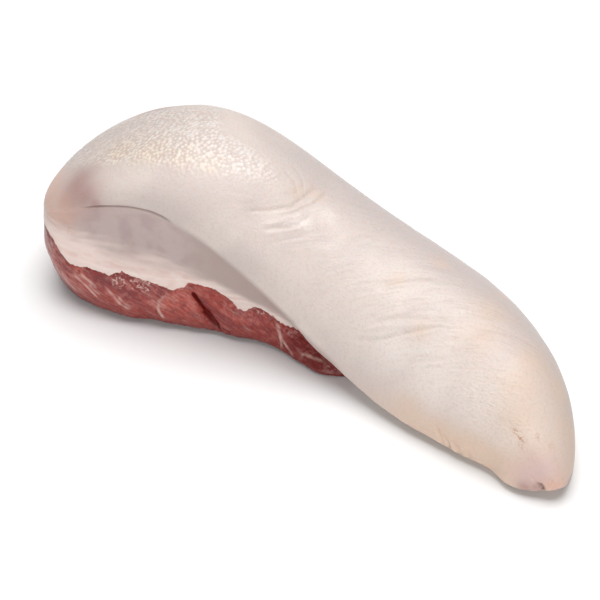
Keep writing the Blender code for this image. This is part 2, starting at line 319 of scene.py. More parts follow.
def line_field(points, line):
    """For each point, its distance in mm to a line, and its share of the way along that line."""
    lengths = np.linalg.norm(np.diff(line, axis=0), axis=1)
    starts = np.concatenate([[0], np.cumsum(lengths)])
    nearest, share = np.full(len(points), np.inf), np.zeros(len(points))
    for a, b, start, length in zip(line, line[1:], starts, lengths):
        t = np.clip((points - a) @ (b - a) / length ** 2, 0, 1)
        gap = np.linalg.norm(points - a - t[:, None] * (b - a), axis=1)
        closer = gap < nearest
        nearest[closer] = gap[closer]
        share[closer] = (start + t[closer] * length) / starts[-1]
    return nearest, share


LINE_ENDS = 0.15                         # the share of a line over which each end thins out


def stroke(points, line, width, taper=True):
    """A soft line, 1 at its middle and 0 beyond its width in mm, that thins out at its ends."""
    gap, share = line_field(points, line)
    soft = np.exp(-(gap / width) ** 2)
    if taper:
        soft *= blend(0.0, LINE_ENDS, share) * blend(1.0, 1.0 - LINE_ENDS, share)
    return soft


def strongest(strokes):
    """The strongest of several soft lines at each vertex."""
    return np.max(list(strokes), axis=0)


CORNER_WAYS = 256                        # directions that the noise picks from
SEED_SHIFT = 17.3                        # how far each seed moves the noise
NOISE_GAIN = 1.6                         # brings the noise to about -1 to 1
DIRECTIONS = np.random.default_rng(SEED).normal(size=(CORNER_WAYS, 3))
DIRECTIONS /= np.linalg.norm(DIRECTIONS, axis=1)[:, None]
SHUFFLE = np.random.default_rng(SEED + 1).permutation(CORNER_WAYS)


def lumps(points, size, seed):
    """Smooth noise from about -1 to 1, whose lumps are about size mm across."""
    scaled = np.asarray(points) / size + seed * SEED_SHIFT
    cell = np.floor(scaled).astype(int)
    inside = scaled - cell
    ease = inside ** 3 * (inside * (inside * 6 - 15) + 10)
    total = np.zeros(len(scaled))
    for corner in itertools.product((0, 1), repeat=3):
        pick = 0
        for step in (cell + corner).T:
            pick = SHUFFLE[(pick + step) % CORNER_WAYS]
        weight = np.where(corner, ease, 1 - ease).prod(axis=1)
        total += weight * ((inside - corner) * DIRECTIONS[pick]).sum(axis=1)
    return total * NOISE_GAIN


def patchy(points, size, seed, middle=0.5, swing=0.5, least=0.0):
    """The same noise as a share, from the least up to 1."""
    return np.clip(middle + swing * lumps(points, size, seed), least, 1)


print("noise directions:", len(DIRECTIONS))

# %% [markdown]
# ## The cut edge of the skin
#
# The butcher's knife left the skin's edge ragged. Its line on the shown side is
# traced from the photograph. The far side gets the same line, a little further
# along. Every vertex then learns how far above that edge it lies: above is
# skin, below is bare muscle. The muscle ends where the free blade begins.

# %% How far each vertex lies from the edge of the skin
CUT_EDGE = ((47, 227), (51, 233), (57, 244), (63, 254), (70, 263), (80, 266), (87, 266),
            (93, 269), (103, 272), (110, 275), (115, 272), (122, 271), (134, 276), (145, 280),
            (157, 284), (168, 288), (174, 290), (177, 287), (185, 287), (188, 282), (200, 284),
            (216, 289), (227, 296), (233, 302), (239, 309), (246, 310), (250, 308), (256, 306),
            (262, 308), (270, 313), (275, 318), (284, 324), (293, 327), (299, 328))
HIDDEN_EDGE = ((158, 9.5), (166, 6.0), (176, 4.0), (275, 3.0))    # mm along, mm high: its rest
FINE_RAGS, COARSE_RAGS = 0.35, 0.9       # mm up and down; the coarse ones on the far side only
MUSCLE_END = 168.0                       # mm along, where the muscle ends under the blade
END_RAGS = 3.0                           # mm to and fro


def along_line(line, column):
    """A traced line as two rows: mm along, and one more of its measures there."""
    rows = chart(traced(line))
    rows = rows[np.argsort(rows[:, 0])]
    return rows[:, 0], rows[:, column]


ACROSS, HIGH = 1, 2                      # the chart's columns
points = coordinates()
along, across, height = chart(points).T
shown = across > 0
shown_along = along - np.where(shown, 0, FAR_SHIFT)

edge_along, edge_height = along_line(CUT_EDGE, HIGH)
edge_along, edge_height = np.hstack([(edge_along, edge_height), np.transpose(HIDDEN_EDGE)])
edge = np.interp(shown_along, edge_along, edge_height)
edge += COARSE_RAGS * lumps(points, size=6.0, seed=1) * ~shown
edge += FINE_RAGS * lumps(points, size=2.5, seed=2)
muscle_end = MUSCLE_END + END_RAGS * lumps(points, size=12.0, seed=3)
above_cut = np.maximum(height - edge, along - muscle_end)
print("cut edge from", edge_along[0].round(), "to", edge_along[-1], "mm along;",
      round(100 * float((above_cut < 0).mean())), "% of the vertices are muscle")

# %% [markdown]
# ## Folds of the skin
#
# Each fold is a soft furrow or ridge along a traced line. A Displace modifier
# on a vertex group presses it in, as a sculpting brush would, so the folds are
# real shape and not only shading.

# %% The crease under the rim
CREASE = ((80, 208.5), (100, 207), (123, 207.2), (138, 209.3), (150, 212.3), (160, 216.3),
          (168, 220.8), (176, 226.5))
CREASE_WIDTH, CREASE_DEPTH = 0.7, 1.0    # mm
LEAST_WEIGHT = 0.004                     # below this a vertex stays where it is


def push(name, weight, height_mm):
    """Move the surface along its normals with a Displace modifier, by weight times height."""
    group = tongue.vertex_groups.new(name=name)
    for number in np.flatnonzero(weight > LEAST_WEIGHT).tolist():
        group.add([number], float(weight[number]), "REPLACE")
    displace = tongue.modifiers.new(name, "DISPLACE")
    displace.vertex_group = group.name
    displace.mid_level = 0.0
    displace.strength = height_mm * MM
    bpy.ops.object.modifier_apply(modifier=displace.name)
    tongue.vertex_groups.clear()
    print(name, "moved", int((weight > LEAST_WEIGHT).sum()), "vertices by up to", height_mm, "mm")


crease_line = traced(CREASE)
crease = strongest(stroke(points, line, CREASE_WIDTH) for line in (crease_line, mirrored(crease_line)))
push("crease", crease, -CREASE_DEPTH)

# %% The fossa behind the blade, and the wrinkles
# Each is a row of pixels, a width in mm and a share of the full depth or height.
FURROWS = (
    (((242, 210.5), (256, 210.8), (267, 210.7), (276, 209.3), (283, 207.9), (293, 206.1), (297, 202.9),
      (301, 200), (307, 195), (314, 190), (322, 187)), 0.9, 0.8),
    (((283, 216), (298, 211), (312, 205), (322, 198), (328, 192)), 0.8, 0.35),
    (((309, 187), (318, 188), (326, 191), (333, 196)), 0.8, 0.25),
    (((260, 230), (272, 228.3), (287, 227.9), (297, 225), (305, 219.5), (313, 214)), 0.8, 0.5),
    (((270, 242), (283, 240.5), (297, 237.9), (310, 233)), 0.8, 0.3),
    (((345, 246), (351, 242), (357, 238.5), (369, 232.8), (380, 230), (390, 229)), 0.9, 0.45),
    (((283, 170), (291, 177), (296, 186), (298, 196)), 0.8, 0.35),
    (((291, 164), (299, 173), (303, 182), (304, 190)), 0.8, 0.3),
    (((225, 199), (240, 203), (256, 205)), 1.0, 0.15),
    (((221, 189), (238, 193), (254, 194)), 1.0, 0.15),
    (((377, 289), (383, 285.4), (395.5, 281.7), (408, 279.5), (420, 278.3), (438, 277)), 1.0, 0.5),
    (((376, 258), (385, 253), (394, 248.5)), 0.9, 0.35),
    (((396, 306), (414, 303), (429, 300.7), (457, 300)), 1.4, 0.3),
    (((372, 322.5), (390, 319.6), (403, 317.8), (418, 318.7), (430, 320), (447, 318.7), (459, 316.3),
      (473, 314.5)), 1.3, 0.4),
    (((348, 338), (366, 339.5), (378, 339.5), (392, 336.6), (405, 333.6), (418, 330.8), (430, 328.9),
      (449, 325.2)), 1.0, 0.7),
    (((448, 341.5), (462, 338), (474, 334.2), (490, 329.5)), 1.7, 0.4),
    (((408, 359), (421, 357.3), (435, 356.7)), 1.0, 0.2),
    (((404, 362.3), (420, 361.5), (432, 361), (448, 360.2)), 0.9, 0.3),
)
RIDGES = (
    (((272, 214), (290, 210.5), (301.4, 206), (311.4, 201.5), (319, 195), (324, 190)), 0.9, 0.5),
    (((262, 225.5), (273, 223.5), (284, 220.5), (295, 217), (306, 212.5)), 1.0, 0.4),
    (((262, 235.5), (270, 234), (283, 232), (295, 229.5), (306, 226)), 0.8, 0.4),
    (((310, 212), (320, 208), (331, 203)), 0.9, 0.3),
    (((352, 246), (360, 242.5), (371, 238.5), (382, 235)), 1.0, 0.4),
    (((383, 289.8), (394, 285.4), (405, 283.9), (420, 283.4), (436, 283)), 0.9, 0.5),
    (((403, 300.5), (418, 295.6), (429, 293.7), (443, 289)), 1.1, 0.35),
    (((404, 312.5), (416, 308.5), (422, 307), (442, 306.3)), 0.9, 0.4),
    (((376, 318.6), (395.5, 314), (409, 312)), 1.0, 0.25),
    (((437, 310.8), (451, 309.4), (468, 310.8)), 1.0, 0.35),
    (((356, 332), (377, 327), (392, 326), (403, 327), (414, 325.2), (427, 324.3), (440, 324.8),
      (451, 326.7), (462, 324.3), (473, 320.8)), 0.9, 0.55),
    (((403, 338.3), (420, 334.4), (431, 331.7), (448, 327.4)), 0.9, 0.4),
    (((450, 350.8), (464, 346.5), (477, 341), (494, 335.5)), 1.8, 0.4),
    (((402, 353), (431, 353)), 1.2, 0.2),
    (((423, 364.3), (444, 363.1), (458, 362)), 0.9, 0.3),
    (((463, 321), (484, 319.4)), 1.0, 0.2),
)
FURROW_DEPTH, RIDGE_HEIGHT = 0.85, 0.9   # mm

uneven = patchy(points, size=6.0, seed=12, middle=0.75, swing=0.6, least=0.2)


def folded(folds):
    """The strongest of several folds at each vertex, deeper here and shallower there."""
    return uneven * strongest(strength * stroke(points, traced(line), width)
                              for line, width, strength in folds)


furrowed = folded(FURROWS)
push("furrows", furrowed, -FURROW_DEPTH)
push("ridges", folded(RIDGES), RIDGE_HEIGHT)

# %% [markdown]
# ### The edges of the blade
#
# Small nicks mark the near edge of the blade, where the loose skin of the
# underside meets the firm skin of the back. Slight creases all over the blade
# come from noise drawn out the way its wrinkles run.

# %% Nicks along the near edge of the blade
NICKS = (((437, 430), (440, 437), (442, 443)), ((444, 436), (447, 442), (449, 448)),
         ((452, 441), (456, 447), (459, 453)), ((466, 450), (470, 456), (474, 461)))
NICK_WIDTH, NICK_DEPTH = 1.1, 1.1        # mm

nicks = strongest(stroke(points, traced(line), NICK_WIDTH, taper=False) for line in NICKS)
push("nicks", nicks, -NICK_DEPTH)

# %% Slight creases all over the blade
# They run askew, as the wrinkles do, and so are long that way and narrow across it.
FOLD_WAY = (0.79, -0.61)                 # along and across, the way the wrinkles run
FINE_FOLDS, FINE_FOLD_HEIGHT = (16.0, 2.6, 16.0), 0.2        # mm long, wide and high, and raised
BROAD_FOLDS, BROAD_FOLD_HEIGHT = (22.0, 5.0, 22.0), 0.3
BLADE_BEGINS, BLADE_TIP = (118, 140), (262, 230)             # mm along, where they fade
SOLE = 0.5                               # mm high: nothing is raised below this

with_folds = FOLD_WAY[0] * along + FOLD_WAY[1] * across
across_folds = -FOLD_WAY[1] * along + FOLD_WAY[0] * across
fold_places = np.stack([with_folds, across_folds, height], 1)
on_blade = blend(*BLADE_BEGINS, along) * (height > SOLE) * blend(*BLADE_TIP, along)
fine_folds = patchy(fold_places, FINE_FOLDS, seed=8)
push("slight_creases", fine_folds * on_blade, FINE_FOLD_HEIGHT)
broad_folds = patchy(fold_places, BROAD_FOLDS, seed=9)
push("broad_folds", broad_folds * on_blade, BROAD_FOLD_HEIGHT)

# %% [markdown]
# ## Papillae
#
# The hump carries papillae: blunt, pebble-like bumps about 2 mm apart, with
# fine gaps between them. Each gets a centre, drawn at random but never too near
# another, and the surface rises round it into a small dome.

# %% Where papillae grow
PAPILLA_EDGE = ((62, 176), (72, 172), (86, 171), (104, 172), (125, 174), (150, 173), (175, 176),
                (200, 180), (225, 185), (250, 188), (272, 187), (288, 182), (296, 172))
PAPILLA_FAR_EDGE = ((225, 125), (245, 138), (262, 148), (275, 160), (285, 172))
PAPILLA_ENDS = ((0, 128), (6, 4))        # mm along, mm across: the band narrows at its ends
PAPILLA_FAR_START = ((0, 60), (-60, -45))
PAPILLA_FRINGE = (-3.0, 12.0)            # mm inside that edge, where they begin and are full
FRINGE_RAGS = 2.0                        # mm in and out
PAPILLA_BACK, PAPILLA_FRONT = (1, 9), (128, 112)    # mm along, where they begin and are full

points = coordinates()
band_along, band_across = along_line(PAPILLA_EDGE, ACROSS)
start, end = np.transpose(PAPILLA_ENDS)
band = np.interp(along, [start[0], *band_along, end[0]], [start[1], *band_across, end[1]])
far_band = np.interp(along, *np.hstack([PAPILLA_FAR_START, along_line(PAPILLA_FAR_EDGE, ACROSS)]))
ragged = FRINGE_RAGS * lumps(points, size=7.0, seed=4)
inside = np.minimum(band + ragged - abs(across), across - far_band + ragged)
papilla_zone = blend(*PAPILLA_FRINGE, inside) * (height > smooth_curve(RIM_HEIGHT, along))
papilla_zone *= blend(*PAPILLA_BACK, along + ragged) * blend(*PAPILLA_FRONT, along + 1.5 * ragged)
print("share of the mesh with papillae:", round(float((papilla_zone > 0.5).mean()), 2))

# %% Raise the papillae
PAPILLA_SPACING = 1.55                   # mm, the least between neighbours
PAPILLA_RADIUS = 1.15                    # mm, so that neighbours run into each other
PAPILLA_HEIGHT = 0.42                    # mm
PAPILLA_SIZES = (0.7, 1.1)               # shares of that radius and height, drawn at random
SPARSE, BARE = 0.03, 0.01                # the zone's share where centres end, and where bumps end
FALL = 0.7                               # the power by which bumps get lower towards the fringe


def scattered(chosen, spacing):
    """Vertices picked at random from the chosen ones, none nearer to another than the spacing."""
    order = np.random.default_rng(SEED).permutation(np.flatnonzero(chosen))
    taken = {}
    for number in order.tolist():
        cell = tuple((points[number] // spacing).astype(int))
        beside = itertools.product(*((c - 1, c, c + 1) for c in cell))
        rivals = [other for near in beside for other in taken.get(near, ())]
        if all(((points[number] - points[other]) ** 2).sum() > spacing ** 2 for other in rivals):
            taken.setdefault(cell, []).append(number)
    return [number for group in taken.values() for number in group]


centres = scattered(papilla_zone > SPARSE, PAPILLA_SPACING)
centre_tree = kdtree.KDTree(len(centres))
for number in centres:
    centre_tree.insert(points[number], number)
centre_tree.balance()

papilla = np.zeros(len(points))
sizes = np.random.default_rng(SEED).uniform(*PAPILLA_SIZES, len(points))
for number in np.flatnonzero(papilla_zone > BARE).tolist():
    near, gap = centre_tree.find(points[number])[1:]
    dome = 1 - min(gap / (PAPILLA_RADIUS * sizes[near]), 1.0) ** 2
    papilla[number] = dome * sizes[near]
push("papillae", np.clip(papilla * papilla_zone ** FALL, 0, 1), PAPILLA_HEIGHT)
print("papillae:", len(centres))

# %% [markdown]
# ## The tip
#
# The skin puckers at the tip round a small cleft.

# %% The cleft and its puckers
CLEFT = ((540, 485), (542, 487), (543, 491))
CLEFT_WIDTH, CLEFT_DEPTH = 0.8, 1.4      # mm
PUCKERS = (((529, 482), (533, 486)), ((533, 478), (537, 483)), ((538, 476), (540, 482)),
           ((544, 477), (543, 483)), ((549, 479), (546, 484)), ((553, 482), (550, 486)),
           ((557, 484), (554, 488)))
PUCKER_WIDTH, PUCKER_DEPTH = 0.6, 0.45   # mm

points = coordinates()
cleft = stroke(points, traced(CLEFT), CLEFT_WIDTH, taper=False)
push("cleft", cleft, -CLEFT_DEPTH)
puckers = strongest(stroke(points, traced(line), PUCKER_WIDTH, taper=False) for line in PUCKERS)
push("puckers", puckers, -PUCKER_DEPTH)

# %% [markdown]
# ## Root muscle
#
# The bare muscle is several bundles held by white connective tissue. A deep
# slit parts two of them. The flesh is lumpy, and its fibres show as fine ridges
# that run down and along each bundle. The skin's cut edge stands proud of it.

# %% The slits between the bundles
SLIT = ((190, 290), (199, 302), (207, 312), (214.5, 321), (222, 331))
SLIT_BELLY = ((203, 308), (209, 315), (214, 320.5), (219, 327))
SLIT_WIDTH, BELLY_WIDTH, FAR_SLIT_WIDTH = 1.1, 2.0, 1.0    # mm
SLIT_DEPTH = 1.8                         # mm
SECOND_SLIT = ((222, 327), (232, 334))
SECOND_WIDTH, SECOND_DEPTH = 1.2, 0.8    # mm
FLESH = (0.2, -0.6)                      # mm above the cut, where flesh begins and is full

points = coordinates()
muscle = blend(*FLESH, above_cut)
slit_lines = ((traced(SLIT), SLIT_WIDTH), (traced(SLIT_BELLY), BELLY_WIDTH),
              (mirrored(traced(SLIT)), FAR_SLIT_WIDTH))
slit = strongest(stroke(points, line, width) for line, width in slit_lines)
push("slit", slit, -SLIT_DEPTH)
second_slit = stroke(points, traced(SECOND_SLIT), SECOND_WIDTH)
push("second_slit", second_slit, -SECOND_DEPTH)

# %% The white tissue, and the proud lip of the skin
FASCIA = (((274, 316), (276.5, 323), (281, 334), (282.5, 344), (283, 350)),
          ((275, 318), (278.5, 326), (282.5, 338), (287, 345), (291, 351), (296, 357)),
          ((81, 273), (91, 281), (98, 288)),
          ((90, 283), (96, 290), (102, 293.5)),
          ((118, 296), (126, 303), (132, 306)),
          ((74, 272), (86, 284), (100, 298)),
          ((166, 294), (159.5, 300), (158.5, 308), (165.5, 318)),
          ((104, 284), (113, 294), (121, 303), (132, 309)),
          ((300, 352), (312, 357), (328, 364)),
          ((62, 268), (68, 280), (78, 290)))
FASCIA_WIDTH, FASCIA_HEIGHT = 0.55, 0.25    # mm
LIP_HEIGHT = 0.7                         # mm, the thickness of skin that stands proud
LIP_FACE, LIP_BACK = (-0.5, 0.5), (9.0, 1.0)    # mm above the cut, where it rises and sinks back
SKIRT = (0.3, 3.0)                       # mm high: what lies on the board is not raised

fascia_lines = [traced(line) for line in FASCIA]
fascia_lines += [mirrored(line) for line in fascia_lines]
fascia = strongest(stroke(points, line, FASCIA_WIDTH) for line in fascia_lines) * muscle
fascia *= patchy(points, size=3.0, seed=10, middle=0.75, swing=0.7)
push("fascia", fascia, FASCIA_HEIGHT)
skirt = blend(*SKIRT, height)
lip = blend(*LIP_FACE, above_cut) * blend(*LIP_BACK, above_cut) * (along < MUSCLE_END) * skirt
push("lip", lip, LIP_HEIGHT)

# %% The bundles' lumps, and the fibres
BUNDLE_SIZE, BUNDLE_HEIGHT = 9.0, 0.9    # mm
FIBRE_SIZE, FIBRE_HEIGHT = 1.3, 0.35     # mm
FIBRE_WAYS = ((0.8, 0, -0.6), (0, 0.8, 0), (0.5, 0, 0.9))    # of along, across and height

tongue_places = np.stack([along, across, height], 1)
fibre_places = tongue_places @ np.transpose(FIBRE_WAYS)
bundles = patchy(points, BUNDLE_SIZE, seed=5)
push("bundles", bundles * muscle * skirt, BUNDLE_HEIGHT)
fibres = patchy(fibre_places, FIBRE_SIZE, seed=6)
push("fibres", fibres * muscle * skirt, FIBRE_HEIGHT)

# %% [markdown]
# ## What the paint needs to know
#
# A material can't tell how far a place is from a fold or from the cut edge, so
# those measures are kept on the mesh, one value for each vertex. Spots of
# colour that the photograph shows are placed the same way as its folds.

# %% Spots of colour, each a pixel and a reach in mm
SPOTS = {
    "wine": (((104, 279), 6), ((120, 277), 7), ((132, 281), 7), ((146, 286), 6), ((161, 291), 4),
             ((130, 292), 6), ((300, 338), 7), ((312, 350), 10), ((325, 364), 9), ((334, 373), 9),
             ((63, 256), 4), ((70, 268), 3), ((90, 269), 3)),
    "orange": (((182, 300), 8), ((172, 305), 7), ((178, 318), 7), ((165, 325), 6)),
    "pale": (((51, 242), 6), ((58, 268), 4), ((68, 279), 5), ((77, 288), 4), ((79, 273), 3),
             ((93, 282), 3), ((115, 281), 2), ((155, 300), 3)),
    "lace_and_glints": (((117, 280), 4.0), ((127, 278), 3.5), ((137, 286), 3.5), ((148, 286), 3.0),
             ((260, 309), 3.0)),
    "blush_and_dent_shade": (((525, 488), 3.5), ((536, 488), 2.5), ((77, 185), 12.0), ((84, 195), 10.0),
              ((78, 190), 11.0), ((94, 204), 5.0), ((50, 236), 6.0)),
    "tan": (((298, 192), 4.0), ((440, 432), 7.0), ((470, 449), 9.0), ((490, 461), 8.0),
            ((502, 472), 7.0), ((410, 405), 8.0), ((398, 279), 4.0), ((420, 331), 4.0),
            ((490, 312), 9.0), ((532, 362), 9.0), ((560, 390), 9.0), ((569, 430), 9.0)),
    "stain": (((517, 433), 1.3), ((514, 430), 1.2), ((522, 440), 1.4), ((520, 446), 1.0),
              ((518.5, 435.5), 0.6), ((538, 438), 0.8), ((549, 445), 0.7), ((553, 447), 0.6),
              ((64, 222), 1.0), ((71, 232), 1.2), ((68, 228), 0.8)),
    "peach": (((550, 486), 3.5), ((557, 487), 4.0), ((52, 183), 9.0), ((49, 197), 9.0),
              ((52, 212), 9.0), ((64, 205), 8.0), ((64, 215), 6.0)),
    "mauve": (((540, 472), 9.0), ((528, 476), 7.0), ((541, 480), 7.0)),
    "yellow": (((120, 152), 11.0), ((148, 157), 12.0), ((180, 162), 10.0), ((210, 168), 7.0)),
    "painted_sheen": (((303, 222), 3.5), ((328, 214), 5.0), ((390, 352), 13.0), ((430, 385), 16.0),
                  ((475, 405), 16.0), ((520, 440), 12.0)),
    "ripples": (((487, 408), 13.0), ((470, 398), 8.0), ((505, 425), 8.0)),
}
FAR_SIDE_TOO = ("wine", "orange", "pale", "lace_and_glints", "blush_and_dent_shade", "tan")


def spotted(places, far_side_too):
    """Soft round spots on the shown side, or on both sides."""
    centres = [(traced([pixel]), reach) for pixel, reach in places]
    if far_side_too:
        centres += [(mirrored(centre), reach) for centre, reach in centres]
    return strongest(np.exp(-((points - centre) ** 2).sum(1) / reach ** 2) for centre, reach in centres)


points = coordinates()
measures = {name: spotted(places, name in FAR_SIDE_TOO) for name, places in SPOTS.items()}
print("spots:", sum(len(places) for places in SPOTS.values()), "of", len(SPOTS), "kinds")

# %% The hollow side, its fat, and the shade painted under the rim
FAT_TOP = ((50, 222), (55, 227), (70, 232), (85, 238), (100, 247), (120, 253), (140, 257),
           (160, 263), (180, 272), (200, 279), (215, 282), (235, 293), (250, 301), (265, 307),
           (280, 316), (293, 326))
FAT_STREAKS = (14.0, 1.6, 14.0)          # mm along, high and across
FAT_WANDER = 3.0                         # mm up and down
# Each of the next says where a thing begins and where it is full.
FAT_FADE, FAT_END = (5.0, -3.5), (162, 150)         # mm over its traced top, mm along
HOLLOW_TOP, HOLLOW_FOOT = (2.0, -5.0), (0.0, 8.0)   # mm over the rim, mm over the cut
HOLLOW_BACK, HOLLOW_FRONT = (4, 30), (168, 125)     # mm along
TUCK_TOP, TUCK_FOOT = (2.5, -1.5), (-1.0, 2.0)      # mm over the rim, mm over the fat
TUCK_BACK, TUCK_FRONT = (70, 95), (172, 155)        # mm along

along, across, height = chart(points).T
over_rim = height - smooth_curve(RIM_HEIGHT, along)
over_fat = height - np.interp(along - np.where(shown, 0, FAR_SHIFT), *along_line(FAT_TOP, HIGH))
hollow = blend(*HOLLOW_TOP, over_rim) * blend(*HOLLOW_FOOT, above_cut)
hollow *= blend(*HOLLOW_FRONT, along) * blend(*HOLLOW_BACK, along)
streaky = FAT_WANDER * lumps(np.stack([along, height, across], 1), FAT_STREAKS, seed=11)
fat = blend(*FAT_FADE, over_fat + streaky) * blend(*FAT_END, along)
# painted shade: a band from the rim's edge down to the fat, where the rim overhangs
tucked = blend(*TUCK_TOP, over_rim) * blend(*TUCK_FOOT, over_fat)
tucked *= blend(*TUCK_BACK, along) * blend(*TUCK_FRONT, along)
measures.update(hollow=hollow, fat=fat, tucked=tucked)
print("fat from", along[fat > 0.5].min().round(), "to", along[fat > 0.5].max().round(), "mm along")

# %% Keep the measures on the mesh
TAN_SPOT_STRENGTH = 0.45
SECOND_SLIT_STRENGTH = 0.4
WARM_ALONG, WARM_LOW = (130, 240), (26.0, 4.0)      # mm along, mm high: warmer low down and towards the tip, partly as painted shade
WARM_TIP, WARM_TIP_STRENGTH = (200, 275), 0.35      # mm along, and a share
WRINKLY_FAR, WRINKLY_NEAR = (-30, -8), (38, 20)     # mm across: wrinkles fade towards the edges
LEAST_WRINKLY = 0.3
AWAY_ACROSS, AWAY_ALONG = (10.0, -14.0), (80, 120)  # mm across and along, where painted shade darkens the far side

warm = blend(*WARM_ALONG, along) * blend(*WARM_LOW, height)
warm += WARM_TIP_STRENGTH * blend(*WARM_TIP, along)
middle_of_blade = on_blade * blend(*WRINKLY_FAR, across) * blend(*WRINKLY_NEAR, across)
measures.update({
    "above_cut": above_cut,
    "crease": np.clip(crease + cleft, 0, 1),
    "furrowed": np.clip(furrowed, 0, 1),
    "papilla": papilla,
    "papilla_zone": papilla_zone,
    "slit": np.maximum(slit, SECOND_SLIT_STRENGTH * second_slit),
    "fascia": fascia,
    "tan": np.clip(measures["tan"] * TAN_SPOT_STRENGTH + warm, 0, 1),
    "painted_far_side_shade": blend(*AWAY_ACROSS, across) * blend(*AWAY_ALONG, along),
    "wrinkly": LEAST_WRINKLY + (1 - LEAST_WRINKLY) * middle_of_blade,
    "folds": np.stack([with_folds, across_folds, height], 1),
    "flow": np.stack([along, across, height], 1),
    "fibre_flow": fibre_places,
})
for name, values in measures.items():
    kind, field = ("FLOAT_VECTOR", "vector") if values.ndim == 2 else ("FLOAT", "value")
    kept = tongue.data.attributes.new(name, kind, "POINT")
    kept.data.foreach_set(field, np.ascontiguousarray(values, dtype=np.float32).ravel())
print("measures kept for each vertex:", ", ".join(measures))

# %% [markdown]
# ## Raw tongue
#
# One material paints all three finishes, because they run into each other.
# The skin is a moist, satin mucosa that lets a little light in. The fat is
# smooth and pink-white. The muscle is wet, red and streaked. It is painted as
# on canvas: coat over coat, each one thinned by masks and patterns.

# %% Add nodes, and lay coats of colour
raw_tongue = bpy.data.materials.new("raw_tongue")
raw_tongue.use_nodes = True
tree = raw_tongue.node_tree
shader = tree.nodes["Principled BSDF"]


def linear(hex_colour):
    """An sRGB hex colour as linear RGBA."""
    values = [int(hex_colour[i:i + 2], 16) / 255 for i in (1, 3, 5)]
    return (*(v / 12.92 if v <= 0.04045 else ((v + 0.055) / 1.055) ** 2.4 for v in values), 1.0)


def node(kind, inputs, **settings):
    """Add a node, set its settings, and set or link its inputs. Gives back the node."""
    made = tree.nodes.new(kind)
    for name, value in settings.items():
        setattr(made, name, value)
    for name, value in inputs.items():
        if isinstance(value, bpy.types.NodeSocket):
            tree.links.new(value, made.inputs[name])
        else:
            made.inputs[name].default_value = value
    return made


def thinned(*limits):
    """The product of some limits. Each is a number, a mask from 0 to 1, or a pattern with the
    value where it starts and the value where it is full."""
    product = None
    for limit in limits:
        if isinstance(limit, tuple):
            pattern, start, full = limit
            limit = node("ShaderNodeMapRange", {"Value": pattern, "From Min": start, "From Max": full},
                         interpolation_type="SMOOTHSTEP").outputs[0]
        if product is not None:
            limit = node("ShaderNodeMath", {0: product, 1: limit}, operation="MULTIPLY").outputs[0]
        product = limit
    return product


def coat(under, colour, *limits):
    """A coat of colour over another, as strong as its limits let it be."""
    inputs = {"Factor": thinned(*limits), "A": under, "B": colour}
    return node("ShaderNodeMix", inputs, data_type="RGBA").outputs[2]


mask = {}
for name, values in measures.items():
    reader = node("ShaderNodeAttribute", {}, attribute_name=name)
    mask[name] = reader.outputs["Fac" if values.ndim == 1 else "Vector"]
print("masks:", len(mask))

# %% [markdown]
# ### Patterns
#
# Broad patches, veins, freckles and the muscle's mottling are noise, each with
# the size that its lumps have on a real tongue. Only pores and stipple are
# drawn coarser than real ones, about 1 mm, or they would not show. Streaks are
# noise read from places that are squeezed lengthwise, so that it is drawn out.

# %% The patterns and their real sizes
place = node("ShaderNodeTexCoord", {}).outputs["Object"]
DRAWN_OUT = {                            # where it is read, and how many times it is drawn out
    "tongue": (mask["flow"], (5, 1, 1)),
    "fibres": (mask["fibre_flow"], (7, 1, 1)),
    "ripples": (mask["folds"], (2.5, 1, 1)),
    "wrinkles": (mask["folds"], (8, 1, 4)),
}
drawn = {}
for name, (where, ways) in DRAWN_OUT.items():
    squeezed = node("ShaderNodeMapping", {"Vector": where, "Scale": [1 / times for times in ways]})
    drawn[name] = squeezed.outputs[0]

# Each says where it is read, its lumps' size there, and its detail. Object
# places are in metres, and the places kept on the mesh are in millimetres.
PATTERNS = {
    "patches": (place, 28 * MM, 3.0),
    "veins": (place, 9 * MM, 3.0),
    "stipple": (place, 1.1 * MM, 3.0),
    "pores": (place, 0.9 * MM, 3.0),
    "freckles": (place, 0.8 * MM, 3.0),
    "frayed": (place, 1.4 * MM, 3.0),
    "mottling": (place, 3.2 * MM, 4.0),
    "lace_and_glints": (place, 2.6 * MM, 1.0),
    "lace_gaps": (place, 1.8 * MM, 2.0),
    "fat_streaks": (drawn["tongue"], 2.5, 3.0),
    "fibres": (drawn["fibres"], 1.2, 4.0),
    "tissue_streaks": (drawn["fibres"], 2.2, 3.0),
    "wine_streaks": (drawn["fibres"], 6.0, 2.0),
    "ripples": (drawn["ripples"], 0.95, 2.0),
    "wrinkles": (drawn["wrinkles"], 1.8, 4.0),
}
noise = {}
for name, (where, size, detail) in PATTERNS.items():
    texture = node("ShaderNodeTexNoise", {"Vector": where, "Scale": 1 / size, "Detail": detail})
    noise[name] = texture.outputs["Fac"]
print("patterns:", len(noise))

# %% [markdown]
# ### Skin
#
# Washed mucosa: cream to pinkish grey, a little yellow over the papillae,
# mauve in the hollow side where it is thin, beige and painted shade along the
# creases and furrows, and a painted sheen along the blade's near side. Near the
# cut lies a band of fat, white with pink streaks drawn out lengthwise.

